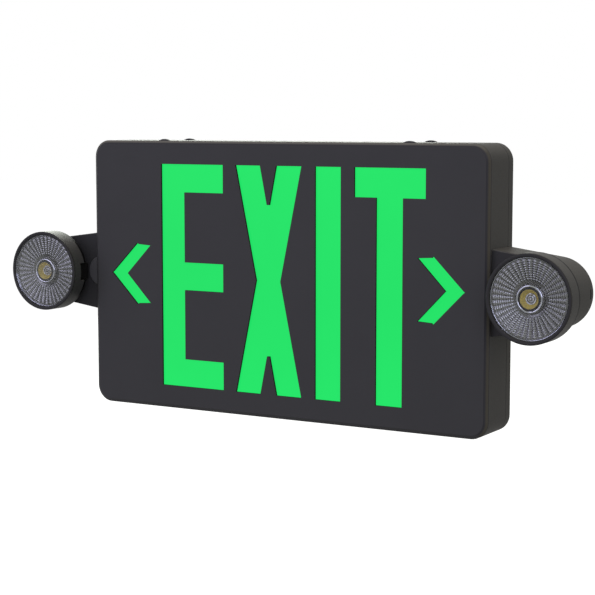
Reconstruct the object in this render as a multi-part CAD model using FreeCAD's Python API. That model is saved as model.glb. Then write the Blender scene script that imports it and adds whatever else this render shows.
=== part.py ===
import FreeCAD, Part
import math
import os

# Wall-mounted emergency exit light: lit legend box with two adjustable lamp heads on side arms.
# Millimetres.  Origin: centre of the rear face that lies on the wall.  +Z up, -Y towards the reader.

# ---- legend box ----
BODY_W = 300.7
BODY_H = 183.9
BODY_D = 37.0
CORNER_R = 11.5
WALL = 2.2
FACE_T = 2.1            # face plate at its rim
BEVEL_W = 2.5           # bevel round the face plate, seen from the front
BEVEL_D = 1.9           # and from the side
WEB_T = 1.5             # face plate where the legend is cut
SEAM = 0.4              # open joint between face plate and housing, and housing and back plate
SEAM_CHAMFER = 0.6
BACK_PAN_D = 7.3        # depth of the back plate with its rim
BACK_FLOOR = 2.0
SKIRT_T = 1.4
SKIRT_L = 4.0
BACK_SKIRT_L = 3.0
FIT = 0.3               # clearance between parts that slide together
SEAT = 0.1              # clearance between parts that are fixed face to face
REAR_EDGE = 0.8         # chamfer round the rear of the back plate
RIB_T = 2.0             # webs that tie the screw posts to the walls
LEDGE_T = 1.5
POST_R = 4.2            # screw posts in the corners
TAB_X = 93.5            # low catches on the top, at the front and the rear seam
TAB_W = 10.0
TAB_H = 1.2
TAB_T = 1.7

# ---- legend ----
LETTER_H = 152.4
STROKE = 19.05
E_LEFT = -93.5
E_W = 50.15
X_MID = -8.0
X_HALF = 25.45          # half width at the ends of the diagonal strokes
X_IN = 6.2              # half width of the notch at the letter's ends
X_WAIST = 9.4
X_NOTCH = 0.95
X_NOTCH_Z = 50.4
I_LEFT = 27.65
T_LEFT = 56.5
T_W = 50.7
T_STEM = 72.3
CHEV_TIP = 134.4
CHEV_OUT = 113.25
CHEV_IN = 102.45
CHEV_NOTCH = 121.9
CHEV_H = 20.6
CHEV_SHIFT = -0.6       # both chevrons stand this far off the middle
NIB = 0.6

# ---- light box ----
LENS_T = 1.2
TRAY_MARGIN = 7.3       # from the outside of the box to the tray wall
TRAY_T = 1.4
TRAY_REAR = 19.0        # rear of the tray from the wall
STRIP_L = 240.0
STRIP_W = 8.0
STRIP_T = 1.2
STRIP_GAP = 2.0         # from the front of the tray to the strips
LED_COUNT = 10
LED_L = 3.5
LED_W = 2.8
LED_T = 1.6

# ---- electrics ----
BOARD_W = 112.0
BOARD_H = 62.0
BOARD_T = 1.6
BOARD_X = 46.0
BOARD_UP = 50.0         # middle of the board from the bottom of the box
BOARD_Z = BOARD_UP - BODY_H / 2.0
STANDOFF = 4.0
STANDOFF_R = 3.0
POST_IN = 5.0           # board posts from the board's edges
CAN_R = (5.0, 4.0, 4.0)             # capacitors: radius, height and place on the board
CAN_H = (9.5, 9.0, 8.0)
CAN_X = (42.0, 42.0, -22.0)
CAN_Z = (12.0, -2.0, 14.0)
RELAY = (13.0, 10.0, 9.0)           # blocks on the board: width, height, depth
RELAY_AT = (-14.0, -6.0)            # their lower left corners from its middle
PLUG = (12.0, 16.0, 8.0)
PLUG_AT = (-46.0, 2.0)
PLUG_LOW = (10.0, 12.0, 7.0)
PLUG_LOW_AT = (-46.0, -16.0)
CHIP = (8.0, 6.0, 2.0)
CHIP_AT = (-24.0, -10.0)
CORE_AT = (18.0, 8.0)
CORE_W = 20.0           # transformer
CORE_H = 16.0
CORE_D = 10.0
COIL_W = 12.0
COIL_H = 21.0
SWITCH_H = 9.0
SWITCH_W = 7.2
SWITCH_UP = 8.0         # from the floor of the housing
STEM_R = 1.5
CELL_R = 7.15
CELL_L = 50.0
CELL_N = 4
WRAP = 0.5
BATTERY_IN = 62.35      # middle of the cells from the side of the box
BATTERY_X = BATTERY_IN - BODY_W / 2.0
CLIP_T = 0.8
CLIP_W = 10.0
CLIP_REACH = 3.0        # clip legs from the cells' ends
CLIP_END = 12.5
CLIP_HOLE = 8.0
CLIP_POST_R = 3.5
BUTTON_X = 60.0
BUTTON_Y = -14.8
BUTTON_R = 3.0
BUTTON_TRAVEL = 1.5
LAMP_IND_X = 76.0
LAMP_IND_R = 2.0
RUN = 0.05              # radial running clearance

# ---- wall fixing ----
ENTRY_R = 11.1
OCT_SPACING = 88.9
GANG_SPACING = 83.3
FIX_R = 2.3
KEY_X = 110.0
KEY_Z = 45.0
KEY_HEAD_R = 4.6
KEY_SLOT_R = 2.4
KEY_RISE = 8.0
CORNER_SCREW_IN = 12.0

# ---- top ports ----
PORT_X = 92.0
PORT_Y = -17.0
PORT_L = 30.0
PORT_W = 10.0
PORT_FIT = 0.15
PORT_FLANGE = 1.2

# ---- side arms ----
LAMP_REACH = 33.2       # lamp axis from the side of the box
LAMP_X = BODY_W / 2.0 + LAMP_REACH
ARM_END_R = 22.35
ARM_ROOT_H = 27.1       # half height where the arm meets the box
ARM_FRONT = 32.0        # front face of the arm, from the wall
ARM_BACK = 4.0          # rear of the arm, from the wall
ARM_WALL = 2.0
ARM_EDGE = 0.5
COVER_T = 2.0
PAD_R = 10.3
PAD_X = BODY_W / 2.0 - 1.45
PAD_T = 1.2
PAD_EDGE = 0.7
WINDOW_H = 6.0
WINDOW_W = 1.6
WINDOW_Y = 8.3
HOOK_T = 2.0
WIRE_R = 4.0            # wire way between the box and the arm
ARM_SCREW_Z = 14.0
ARM_SCREW_Y = -16.0
ARM_POST_R = 4.0
ARM_POST_L = 11.0
ARM_SCREW_L = 9.5
COVER_SCREW_L = 14.0
SCREW_R = 1.5
SCREW_HEAD_R = 2.9
SCREW_HEAD_H = 1.7
SCREW_SLOT = 0.8

# ---- lamp heads ----
PUCK_R = 27.7
PUCK_D = 14.8
PUCK_FRONT = 54.4       # front of the bezel, from the wall
PUCK_WALL = 1.2
PUCK_FLOOR = 1.8
PUCK_EDGE = 1.0
LIP = 2.9               # radial width of the bezel lip
LIP_T = 1.0
BEZEL_T = 1.4
BEZEL_SKIRT_L = 3.2
BEZEL_SKIRT_T = 0.8
GLASS_T = 0.8
DISH_ROOT = 11.6        # foot of the dish, outside the collar
DISH_DEEP = 2.1
DISH_RIM = 0.5
DISH_T = 0.8
FLUTES = 36
FLUTE_H = 0.35
FLUTE_W = 0.7
OPTIC_R = 6.8
OPTIC_T = 1.2
COLLAR_R = 9.3
COLLAR_TOP = 0.5        # width of the collar's crest
LED_R = 6.4
LED_H = 1.6
LED_BASE_T = 0.7
DISC_R = 10.5           # round board behind the lamp
DISC_T = 1.5
POST_HOLD_R = 4.0
HUB_R = 6.0
HUB_L = 5.0
HUB_END = 4.0
HUB_BORE_R = 2.5
FLANGE_R = 10.0
FLANGE_T = 4.0
NUT_R = 9.2
NUT_T = 2.4
WASHER_R = 8.6
WASHER_T = 0.5
LINK_GAP = 1.0
LINK_T = 4.0
LINK_W = 10.8
HINGE_REACH = 22.0      # hinge pin from the lamp axis
HINGE_IN = 3.5          # hinge pin from the rear of the lamp
KNUCKLE_R = 2.8
PIN_R = 1.2
NOTCH_W = 12.0
NOTCH_D = 7.0
NOTCH_IN = 4.0
POCKET_T = 2.0
POCKET_FLOOR = 1.2
PIN_OVER = 1.8
LEAD_R = 2.0            # hole for the lamp's wires
LEAD_X = 8.0

V = FreeCAD.Vector
FRONT = -BODY_D
SIDE = BODY_W / 2.0
TOP = BODY_H / 2.0


def box(x0, x1, y0, y1, z0, z1):
    return Part.makeBox(x1 - x0, y1 - y0, z1 - z0, V(x0, y0, z0))


def rod_y(x, z, r, y0, y1):
    return Part.makeCylinder(r, y1 - y0, V(x, y0, z), V(0, 1, 0))


def rod_z(x, y, r, z0, z1):
    return Part.makeCylinder(r, z1 - z0, V(x, y, z0), V(0, 0, 1))


def rod_x(y, z, r, x0, x1):
    return Part.makeCylinder(r, x1 - x0, V(x0, y, z), V(1, 0, 0))


def prism(points, y0, y1):
    """Straight-sided outline in X and Z, pushed from y0 to y1."""
    ring = [V(x, y0, z) for x, z in points]
    return Part.Face(Part.makePolygon(ring + ring[:1])).extrude(V(0, y1 - y0, 0))


def plate(w, h, r, y0, y1):
    """Rounded rectangle in X and Z about the middle, pushed from y0 to y1."""
    a, b, c = w / 2.0, h / 2.0, r * (1.0 - math.sqrt(0.5))
    e = []
    for sx, sz, flip in ((1, 1, 0), (-1, 1, 1), (-1, -1, 0), (1, -1, 1)):
        p = V(sx * a, y0, sz * (b - r))
        m = V(sx * (a - c), y0, sz * (b - c))
        q = V(sx * (a - r), y0, sz * b)
        e.append(Part.Arc(q, m, p).toShape() if flip else Part.Arc(p, m, q).toShape())
    ends = [(k.Vertexes[0].Point, k.Vertexes[-1].Point) for k in e]
    edges = []
    for i in range(4):
        edges.append(e[i])
        edges.append(Part.LineSegment(ends[i][1], ends[(i + 1) % 4][0]).toShape())
    wire = Part.Wire(Part.__sortEdges__(edges))
    return Part.Face(wire).extrude(V(0, y1 - y0, 0))


def turned(profile, x, z):
    """Ring or disc about an axis along Y through (x, z); profile is radius and Y."""
    ring = [V(x + r, y, z) for r, y in profile]
    face = Part.Face(Part.makePolygon(ring + ring[:1]))
    return face.revolve(V(x, 0, z), V(0, 1, 0), 360)


def ring_y(x, z, r_out, r_in, y0, y1):
    return rod_y(x, z, r_out, y0, y1).cut(rod_y(x, z, r_in, y0 - 1, y1 + 1))


def join(first, others):
    s = first
    for o in others:
        s = s.fuse(o)
    return s.removeSplitter()


def cut_all(first, others):
    return first.cut(Part.makeCompound(others))


def other_side(shape):
    return shape.mirror(V(0, 0, 0), V(1, 0, 0))


def catch(side, y0, y1):
    """Low rounded lug on the top of the box."""
    x, foot = side * TAB_X, TOP - FIT
    crest = Part.Arc(V(x - TAB_W / 2, y0, foot), V(x, y0, TOP + TAB_H),
                     V(x + TAB_W / 2, y0, foot)).toShape()
    base = Part.LineSegment(V(x + TAB_W / 2, y0, foot), V(x - TAB_W / 2, y0, foot)).toShape()
    return Part.Face(Part.Wire([crest, base])).extrude(V(0, y1 - y0, 0))


def save(name, shape):
    shape.exportStep("parts/" + name + ".step")


def front_edges(shape, y):
    """Edges lying wholly in the plane Y = y."""
    return [e for e in shape.Edges
            if abs(e.BoundBox.YMin - y) < 1e-6 and abs(e.BoundBox.YMax - y) < 1e-6]


# ---- legend openings ----
def letter_outlines():
    t, m = LETTER_H / 2.0, STROKE / 2.0
    e0, e1, es = E_LEFT, E_LEFT + E_W, E_LEFT + STROKE
    letter_e = [(e0, t), (e1, t), (e1, t - STROKE), (es, t - STROKE), (es, m), (e1, m),
                (e1, -m), (es, -m), (es, STROKE - t), (e1, STROKE - t), (e1, -t), (e0, -t)]
    c = X_MID
    letter_x = [(c - X_HALF, t), (c - X_IN, t), (c - X_NOTCH, X_NOTCH_Z), (c + X_NOTCH, X_NOTCH_Z),
                (c + X_IN, t), (c + X_HALF, t), (c + X_WAIST, 0), (c + X_HALF, -t), (c + X_IN, -t),
                (c + X_NOTCH, -X_NOTCH_Z), (c - X_NOTCH, -X_NOTCH_Z), (c - X_IN, -t),
                (c - X_HALF, -t), (c - X_WAIST, 0)]
    letter_i = [(I_LEFT, t), (I_LEFT + STROKE, t), (I_LEFT + STROKE, -t), (I_LEFT, -t)]
    a, b, s = T_LEFT, T_LEFT + T_W, T_STEM
    letter_t = [(a, t), (b, t), (b, t - STROKE), (s + STROKE, t - STROKE), (s + STROKE, -t),
                (s, -t), (s, t - STROKE), (a, t - STROKE)]
    return [letter_e, letter_x, letter_i, letter_t]


def chevron(side):
    pts = [(CHEV_TIP + NIB, NIB / 2), (CHEV_TIP, NIB), (CHEV_OUT + NIB, CHEV_H + NIB),
           (CHEV_OUT - NIB, CHEV_H + NIB), (CHEV_OUT - NIB, CHEV_H), (CHEV_IN, CHEV_H - NIB),
           (CHEV_NOTCH, 0)]
    low = [(x, -z) for x, z in reversed(pts[:-1])]
    return [(side * x + CHEV_SHIFT, z) for x, z in pts + low]


SKIRT_OUT_W = BODY_W - 2 * (WALL + FIT)
SKIRT_OUT_H = BODY_H - 2 * (WALL + FIT)
SKIRT_R = CORNER_R - WALL - FIT
SKIRT_IN_W = SKIRT_OUT_W - 2 * SKIRT_T
SKIRT_IN_H = SKIRT_OUT_H - 2 * SKIRT_T
SKIRT_IN_R = SKIRT_R - SKIRT_T
FACE_BACK = FRONT + FACE_T


def face_plate():
    p = plate(BODY_W, BODY_H, CORNER_R, FRONT, FACE_BACK)
    p = p.makeChamfer(BEVEL_D, BEVEL_W, front_edges(p, FRONT))
    skirt = plate(SKIRT_OUT_W, SKIRT_OUT_H, SKIRT_R, FACE_BACK - FIT, FACE_BACK + SKIRT_L)
    p = p.fuse(skirt)
    p = p.cut(plate(SKIRT_IN_W, SKIRT_IN_H, SKIRT_IN_R, FRONT + WEB_T, FACE_BACK + SKIRT_L + 1))
    cuts = [prism(o, FRONT - 1, FRONT + WEB_T + 1) for o in letter_outlines()]
    cuts += [prism(chevron(s), FRONT - 1, FRONT + WEB_T + 1) for s in (1, -1)]
    return cut_all(p, cuts)


LENS_FRONT = FRONT + WEB_T + SEAT


def legend_lens():
    return plate(SKIRT_IN_W - 2 * FIT, SKIRT_IN_H - 2 * FIT, SKIRT_IN_R - FIT,
                 LENS_FRONT, LENS_FRONT + LENS_T)


# ---- housing ----
HOUSE_FRONT = FACE_BACK + SEAM
HOUSE_BACK = -BACK_PAN_D - SEAM
CORNER_X = SIDE - CORNER_SCREW_IN
CORNER_Z = TOP - CORNER_SCREW_IN
BOSS_FRONT = -TRAY_REAR + FIT


def corners():
    return [(sx * CORNER_X, sz * CORNER_Z) for sx in (1, -1) for sz in (1, -1)]


def housing():
    h = plate(BODY_W, BODY_H, CORNER_R, HOUSE_FRONT, HOUSE_BACK)
    rim = front_edges(h, HOUSE_FRONT)
    h = h.makeChamfer(SEAM_CHAMFER, rim)
    h = h.cut(plate(BODY_W - 2 * WALL, BODY_H - 2 * WALL, CORNER_R - WALL,
                    HOUSE_FRONT - 1, HOUSE_BACK + 1))
    bosses, holes = [], []
    for x, z in corners():
        sx, sz = math.copysign(1, x), math.copysign(1, z)
        bosses.append(rod_y(x, z, POST_R, BOSS_FRONT, HOUSE_BACK))
        xa, xb = sorted((x, sx * (SIDE - WALL / 2)))
        bosses.append(box(xa, xb, BOSS_FRONT, HOUSE_BACK - BACK_SKIRT_L,
                          z - RIB_T / 2, z + RIB_T / 2))
        za, zb = sorted((z, sz * (TOP - WALL / 2)))
        bosses.append(box(x - RIB_T / 2, x + RIB_T / 2, BOSS_FRONT,
                          HOUSE_BACK - BACK_SKIRT_L, za, zb))
        holes.append(rod_y(x, z, SCREW_R + RUN, BOSS_FRONT + 1.5, 0))
    seam_y = HOUSE_FRONT + SEAM_CHAMFER + 1.0
    h = join(h, bosses + [catch(s, seam_y, seam_y + TAB_T) for s in (1, -1)])
    for s in (1, -1):
        xa, xb = sorted((s * (SIDE - WALL - 1), s * (SIDE + 1)))
        holes.append(rod_x(ARM_SCREW_Y, 0, WIRE_R, xa, xb))
        for z in (ARM_SCREW_Z, -ARM_SCREW_Z):
            holes.append(rod_x(ARM_SCREW_Y, z, SCREW_R + RUN, xa, xb))
        holes.append(box(s * PORT_X - PORT_L / 2, s * PORT_X + PORT_L / 2, PORT_Y - PORT_W / 2,
                         PORT_Y + PORT_W / 2, TOP - WALL - 1, TOP + 1))
    holes.append(rod_z(BUTTON_X, BUTTON_Y, BUTTON_R + RUN, -TOP - 1, -TOP + WALL + 1))
    holes.append(rod_z(LAMP_IND_X, BUTTON_Y, LAMP_IND_R + RUN, -TOP - 1, -TOP + WALL + 1))
    return cut_all(h, holes)


def port_cover(side):
    """Plug that closes an unused entry, held by a flange under the wall."""
    x = side * PORT_X
    a, b = PORT_L / 2 - PORT_FIT, PORT_W / 2 - PORT_FIT
    low = TOP - WALL - SEAT - PORT_FLANGE
    plug = box(x - a, x + a, PORT_Y - b, PORT_Y + b, low, TOP)
    flange = box(x - a - 2, x + a + 2, PORT_Y - b - 1, PORT_Y + b + 1, low, low + PORT_FLANGE)
    return join(plug, [flange])


# ---- back plate ----
BACK_FRONT = -BACK_PAN_D


def keyhole(x, z):
    h = rod_y(x, z, KEY_HEAD_R, -BACK_FLOOR - 1, 1)
    s = box(x - KEY_SLOT_R, x + KEY_SLOT_R, -BACK_FLOOR - 1, 1, z, z + KEY_RISE)
    return [h, s, rod_y(x, z + KEY_RISE, KEY_SLOT_R, -BACK_FLOOR - 1, 1)]


def board_posts():
    dx, dz = BOARD_W / 2 - POST_IN, BOARD_H / 2 - POST_IN
    return [(BOARD_X + sx * dx, BOARD_Z + sz * dz) for sx in (1, -1) for sz in (1, -1)]


def clip_holes():
    return [BATTERY_X + s * (CELL_L / 2 + CLIP_HOLE) for s in (1, -1)]


def back_plate():
    p = plate(BODY_W, BODY_H, CORNER_R, BACK_FRONT, 0)
    p = p.makeChamfer(REAR_EDGE, front_edges(p, 0))
    p = p.cut(plate(BODY_W - 2 * WALL, BODY_H - 2 * WALL, CORNER_R - WALL,
                    BACK_FRONT - 1, -BACK_FLOOR))
    skirt = plate(SKIRT_OUT_W, SKIRT_OUT_H, SKIRT_R, BACK_FRONT - BACK_SKIRT_L, -BACK_FLOOR)
    skirt = skirt.cut(plate(SKIRT_IN_W, SKIRT_IN_H, SKIRT_IN_R, BACK_FRONT - BACK_SKIRT_L - 1,
                            -BACK_FLOOR + 1))
    ledge = plate(BODY_W - 2 * WALL, BODY_H - 2 * WALL, CORNER_R - WALL, -BACK_FLOOR - LEDGE_T,
                  -BACK_FLOOR)
    add = [skirt, ledge.cut(plate(SKIRT_IN_W, SKIRT_IN_H, SKIRT_IN_R, -BACK_FLOOR - 3, 0))]
    add += [catch(s, -REAR_EDGE - TAB_T, -REAR_EDGE) for s in (1, -1)]
    holes = []
    for x, z in corners():
        add.append(rod_y(x, z, POST_R, HOUSE_BACK + SEAT, -BACK_FLOOR + 0.2))
        holes.append(rod_y(x, z, SCREW_R + 0.2, HOUSE_BACK - 2, 1))
        holes.append(rod_y(x, z, SCREW_HEAD_R + 0.3, -SCREW_HEAD_H - 0.4, 1))
    for x, z in board_posts():
        add.append(rod_y(x, z, STANDOFF_R, -BACK_FLOOR - STANDOFF, -BACK_FLOOR + 0.2))
        holes.append(rod_y(x, z, SCREW_R + RUN, -BACK_FLOOR - STANDOFF - 1, -BACK_FLOOR + 0.4))
    for x in clip_holes():
        add.append(rod_y(x, 0, CLIP_POST_R, -BACK_FLOOR - STANDOFF, -BACK_FLOOR + 0.2))
        holes.append(rod_y(x, 0, SCREW_R + RUN, -BACK_FLOOR - STANDOFF - 1, -BACK_FLOOR + 0.4))
    holes.append(rod_y(0, 0, ENTRY_R, -BACK_FLOOR - 1, 1))
    for s in (1, -1):
        holes.append(rod_y(s * OCT_SPACING / 2, 0, FIX_R, -BACK_FLOOR - 1, 1))
        holes.append(rod_y(0, s * GANG_SPACING / 2, FIX_R, -BACK_FLOOR - 1, 1))
        holes += keyhole(s * KEY_X, KEY_Z)
    return cut_all(join(p, add), holes)


def screw_y(x, z, y_head, length):
    """Screw along Y with its head towards +Y at y_head."""
    head = rod_y(x, z, SCREW_HEAD_R, y_head - SCREW_HEAD_H, y_head)
    shank = rod_y(x, z, SCREW_R, y_head - SCREW_HEAD_H - length, y_head - SCREW_HEAD_H + 0.2)
    slot = box(x - SCREW_HEAD_R - 1, x + SCREW_HEAD_R + 1, y_head - 0.6, y_head + 1,
               z - SCREW_SLOT / 2, z + SCREW_SLOT / 2)
    return head.fuse(shank).cut(slot)


def cover_screws():
    return Part.makeCompound([screw_y(x, z, -FIT, COVER_SCREW_L) for x, z in corners()])


# ---- light box ----
TRAY_W = BODY_W - 2 * TRAY_MARGIN
TRAY_H = BODY_H - 2 * TRAY_MARGIN
TRAY_FRONT = LENS_FRONT + LENS_T + SEAT
TRAY_IN_Z = TRAY_H / 2 - TRAY_T
STRIP_Y = TRAY_FRONT + STRIP_GAP


def light_tray():
    t = box(-TRAY_W / 2, TRAY_W / 2, TRAY_FRONT, -TRAY_REAR, -TRAY_H / 2, TRAY_H / 2)
    return t.cut(box(-TRAY_W / 2 + TRAY_T, TRAY_W / 2 - TRAY_T, TRAY_FRONT - 1,
                     -TRAY_REAR - TRAY_T, -TRAY_IN_Z, TRAY_IN_Z))


def led_strip(s):
    z0, z1 = sorted((s * (TRAY_IN_Z - SEAT), s * (TRAY_IN_Z - SEAT - STRIP_T)))
    return box(-STRIP_L / 2, STRIP_L / 2, STRIP_Y, STRIP_Y + STRIP_W, z0, z1)


def sign_leds():
    out = []
    pitch = STRIP_L / LED_COUNT
    for s in (1, -1):
        a = s * (TRAY_IN_Z - SEAT - STRIP_T)
        z0, z1 = sorted((a, a - s * LED_T))
        for i in range(LED_COUNT):
            x = -STRIP_L / 2 + (i + 0.5) * pitch
            y = STRIP_Y + STRIP_W / 2
            out.append(box(x - LED_L / 2, x + LED_L / 2, y - LED_W / 2, y + LED_W / 2, z0, z1))
    return Part.makeCompound(out)


# ---- electrics ----
BOARD_BACK = -BACK_FLOOR - STANDOFF - SEAT
BOARD_FRONT = BOARD_BACK - BOARD_T


def control_board():
    b = box(BOARD_X - BOARD_W / 2, BOARD_X + BOARD_W / 2, BOARD_FRONT, BOARD_BACK,
            BOARD_Z - BOARD_H / 2, BOARD_Z + BOARD_H / 2)
    return cut_all(b, [rod_y(x, z, SCREW_R + 0.2, BOARD_FRONT - 1, BOARD_BACK + 1)
                       for x, z in board_posts()])


def board_screws():
    out = []
    for x, z in board_posts():
        head = rod_y(x, z, SCREW_HEAD_R, BOARD_FRONT - SEAT - SCREW_HEAD_H, BOARD_FRONT - SEAT)
        shank = rod_y(x, z, SCREW_R, BOARD_FRONT - SEAT - 0.2, -BACK_FLOOR - 0.2)
        out.append(head.fuse(shank))
    return Part.makeCompound(out)


def transformer():
    x, z, y = BOARD_X + CORE_AT[0], BOARD_Z + CORE_AT[1], BOARD_FRONT
    w, h, c, k = CORE_W / 2, CORE_H / 2, COIL_W / 2, COIL_H / 2
    core = box(x - w, x + w, y - CORE_D, y - 1.5, z - h, z + h)
    coil = box(x - c, x + c, y - CORE_D - 1, y - 0.5, z - k, z + k)
    foot = box(x - w + 1, x + w - 1, y - 2, y - SEAT, z - k, z + k)
    return join(core, [coil, foot])


def on_board(size, place):
    """Block of the given width, height and depth, standing on the board's face."""
    y = BOARD_FRONT - SEAT
    w, h, d = size
    x, z = BOARD_X + place[0], BOARD_Z + place[1]
    return box(x, x + w, y - d, y, z, z + h)


def board_parts():
    y = BOARD_FRONT - SEAT
    cans = [rod_y(BOARD_X + x, BOARD_Z + z, r, y - h, y)
            for r, h, x, z in zip(CAN_R, CAN_H, CAN_X, CAN_Z)]
    blocks = [on_board(RELAY, RELAY_AT), on_board(PLUG, PLUG_AT),
              on_board(PLUG_LOW, PLUG_LOW_AT), on_board(CHIP, CHIP_AT)]
    return Part.makeCompound(cans + blocks)


BUTTON_CAP = -TOP + 0.2
SWITCH_LOW = -TOP + WALL + SWITCH_UP


def test_switch():
    w = SWITCH_W / 2
    s = box(BUTTON_X - w, BUTTON_X + w, BUTTON_Y - w, BOARD_FRONT - SEAT,
            SWITCH_LOW, SWITCH_LOW + SWITCH_H)
    return s.cut(rod_z(BUTTON_X, BUTTON_Y, STEM_R + RUN, SWITCH_LOW - 1,
                       SWITCH_LOW + SWITCH_H - 1.2))


def test_button():
    cap = rod_z(BUTTON_X, BUTTON_Y, BUTTON_R, BUTTON_CAP, -TOP + WALL + 0.6)
    flange = rod_z(BUTTON_X, BUTTON_Y, BUTTON_R + 1.1, -TOP + WALL + FIT, -TOP + WALL + FIT + 1.2)
    stem_top = SWITCH_LOW + SWITCH_H - 1.2 - BUTTON_TRAVEL - FIT
    stem = rod_z(BUTTON_X, BUTTON_Y, STEM_R, -TOP + WALL, stem_top)
    return join(cap, [flange, stem])


def charge_indicator():
    a = rod_z(LAMP_IND_X, BUTTON_Y, LAMP_IND_R, -TOP + 0.2, -TOP + WALL + 5)
    b = rod_z(LAMP_IND_X, BUTTON_Y, LAMP_IND_R + 0.8, -TOP + WALL + SEAT, -TOP + WALL + SEAT + 1.0)
    return join(a, [b])


BATTERY_Y = -BACK_FLOOR - WRAP - CELL_R


def battery_pack():
    h = (CELL_N - 1) * CELL_R
    s = box(BATTERY_X - CELL_L / 2, BATTERY_X + CELL_L / 2, BATTERY_Y - 0.45 * CELL_R,
            BATTERY_Y + 0.45 * CELL_R, -h, h)
    cells = [rod_x(BATTERY_Y, -h + 2 * CELL_R * i, CELL_R, BATTERY_X - CELL_L / 2,
                   BATTERY_X + CELL_L / 2) for i in range(CELL_N)]
    return join(s, cells)


def battery_clip():
    front = BATTERY_Y - CELL_R - SEAT
    reach = CELL_L / 2 + CLIP_REACH
    end = CELL_L / 2 + CLIP_END
    foot = -BACK_FLOOR - STANDOFF - SEAT
    w = CLIP_W / 2
    parts = [box(BATTERY_X - reach, BATTERY_X + reach, front - CLIP_T, front, -w, w)]
    for s in (1, -1):
        xa, xb = sorted((BATTERY_X + s * reach, BATTERY_X + s * (reach - CLIP_T)))
        parts.append(box(xa, xb, front - CLIP_T, foot, -w, w))
        xa, xb = sorted((BATTERY_X + s * (reach - CLIP_T), BATTERY_X + s * end))
        parts.append(box(xa, xb, foot - CLIP_T, foot, -w, w))
    holes = [rod_y(x, 0, SCREW_R + 0.2, foot - 3, foot + 1) for x in clip_holes()]
    return cut_all(join(parts[0], parts[1:]), holes)


def clip_screws():
    out = []
    y = -BACK_FLOOR - STANDOFF - SEAT - CLIP_T - SEAT
    for x in clip_holes():
        head = rod_y(x, 0, SCREW_HEAD_R, y - SCREW_HEAD_H, y)
        out.append(head.fuse(rod_y(x, 0, SCREW_R, y - 0.2, -BACK_FLOOR - 0.2)))
    return Part.makeCompound(out)


# ---- side arms ----
def arm_solid(inset, y0, y1, root_extra=0.0):
    """Wedge with a round end about the lamp axis, tangent to the end circle."""
    r, h = ARM_END_R - inset, ARM_ROOT_H - inset
    x0 = SIDE + SEAT + root_extra
    dx = LAMP_X - x0
    d = math.hypot(dx, h)
    slope = math.asin(r / d) - math.atan2(h, dx)
    tx, tz = LAMP_X - r * math.sin(slope), r * math.cos(slope)
    top = Part.LineSegment(V(x0, y0, h), V(tx, y0, tz)).toShape()
    end = Part.Arc(V(tx, y0, tz), V(LAMP_X + r, y0, 0), V(tx, y0, -tz)).toShape()
    low = Part.LineSegment(V(tx, y0, -tz), V(x0, y0, -h)).toShape()
    root = Part.LineSegment(V(x0, y0, -h), V(x0, y0, h)).toShape()
    return Part.Face(Part.Wire([top, end, low, root])).extrude(V(0, y1 - y0, 0))


ARM_Y0 = -ARM_FRONT
ARM_Y1 = -ARM_BACK
HUB_BOSS = ARM_Y0 + HUB_L


def arm():
    a = arm_solid(0, ARM_Y0, ARM_Y1)
    rim = [e for e in front_edges(a, ARM_Y0) if e.BoundBox.XMax > SIDE + 2]
    a = a.makeChamfer(ARM_EDGE, rim)
    a = a.cut(arm_solid(ARM_WALL, ARM_Y0 + ARM_WALL, ARM_Y1 + 1, ARM_WALL + 0.6))
    pad = rod_y(PAD_X, 0, PAD_R, ARM_Y0 - PAD_T, ARM_Y0 + 0.5)
    pad = pad.makeChamfer(PAD_EDGE, front_edges(pad, ARM_Y0 - PAD_T))
    pad = pad.common(box(SIDE + SEAT, LAMP_X, ARM_Y0 - 5, ARM_Y0 + 5, -PAD_R, PAD_R))
    add = [pad, rod_y(LAMP_X, 0, HUB_R + 3, ARM_Y0 + 1, HUB_BOSS)]
    for z in (ARM_SCREW_Z, -ARM_SCREW_Z):
        add.append(rod_x(ARM_SCREW_Y, z, ARM_POST_R, SIDE + SEAT, SIDE + ARM_POST_L))
    a = join(a, add)
    cuts = [rod_y(LAMP_X, 0, HUB_R + RUN, ARM_Y0 - 1, HUB_BOSS + 1),
            rod_x(ARM_SCREW_Y, 0, WIRE_R, SIDE - 1, SIDE + 5),
            box(LAMP_X, LAMP_X + ARM_END_R + 1, -WINDOW_Y - WINDOW_W / 2,
                -WINDOW_Y + WINDOW_W / 2, -WINDOW_H / 2, WINDOW_H / 2)]
    for z in (ARM_SCREW_Z, -ARM_SCREW_Z):
        cuts.append(rod_x(ARM_SCREW_Y, z, SCREW_R + RUN, SIDE - 1, SIDE + ARM_SCREW_L + 0.5))
    return cut_all(a, cuts)


def arm_cover():
    c = arm_solid(ARM_WALL + FIT, ARM_Y1 - COVER_T, ARM_Y1, ARM_WALL + 0.6 + FIT)
    x = LAMP_X + ARM_END_R - ARM_WALL - FIT
    hook_y = -WINDOW_Y - WINDOW_W / 2 + 0.2
    half = WINDOW_H / 2 - FIT
    tongue = box(x - HOOK_T - 1.2, x - 1.2, hook_y, ARM_Y1 - 1, -half, half)
    nose = box(x - HOOK_T, x + 1, hook_y, -WINDOW_Y + WINDOW_W / 2 - 0.2, -half, half)
    return join(c, [tongue, nose])


def arm_screws():
    out = []
    for s in (1, -1):
        for z in (ARM_SCREW_Z, -ARM_SCREW_Z):
            x1 = SIDE - WALL - SEAT
            head = rod_x(ARM_SCREW_Y, z, SCREW_HEAD_R, x1 - SCREW_HEAD_H, x1)
            sh = head.fuse(rod_x(ARM_SCREW_Y, z, SCREW_R, x1 - 0.2, SIDE + ARM_SCREW_L))
            out.append(sh if s > 0 else other_side(sh))
    return Part.makeCompound(out)


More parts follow.
